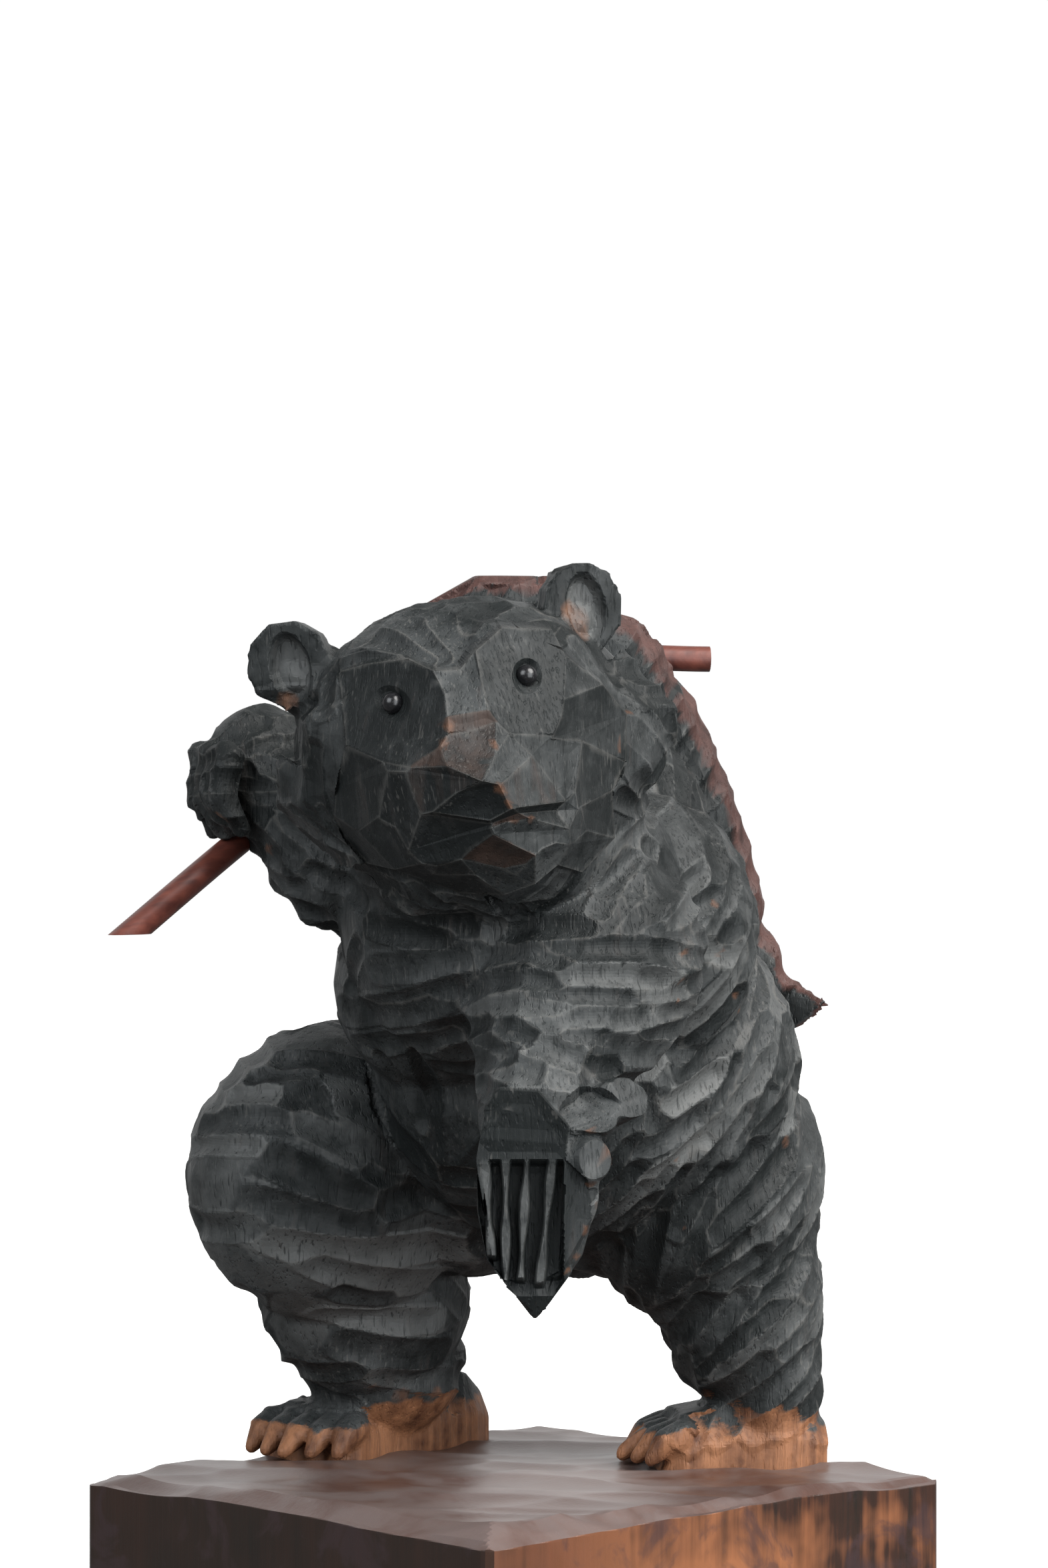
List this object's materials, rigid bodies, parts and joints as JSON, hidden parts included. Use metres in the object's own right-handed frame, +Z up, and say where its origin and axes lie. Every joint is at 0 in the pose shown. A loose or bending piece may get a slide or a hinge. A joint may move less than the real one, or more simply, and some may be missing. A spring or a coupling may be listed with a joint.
{
  "type": "carved wooden bear",
  "caption": "Carved wooden bear walking upright on a hewn plinth, its left paw hanging, the right gripping a bent stick that carries a salmon on its back.",
  "frame": {"origin": "centre of the plinth's underside", "axes": "+Z up, -Y the way the bear walks, +X towards the bear's left"},
  "size_m": [0.1517, 0.1748, 0.2339],
  "materials": {
    "charred_wood": "gouge-carved, charred black, bare red-brown on the feet, the salmon and the plinth",
    "red_stick": "whittled, stained dark red",
    "eye_glass": "polished black bead"
  },
  "bodies": {
    "root": {"bear": "charred_wood", "carrying_stick": "red_stick", "left_eye": "eye_glass", "right_eye": "eye_glass"}
  },
  "joints": []
}
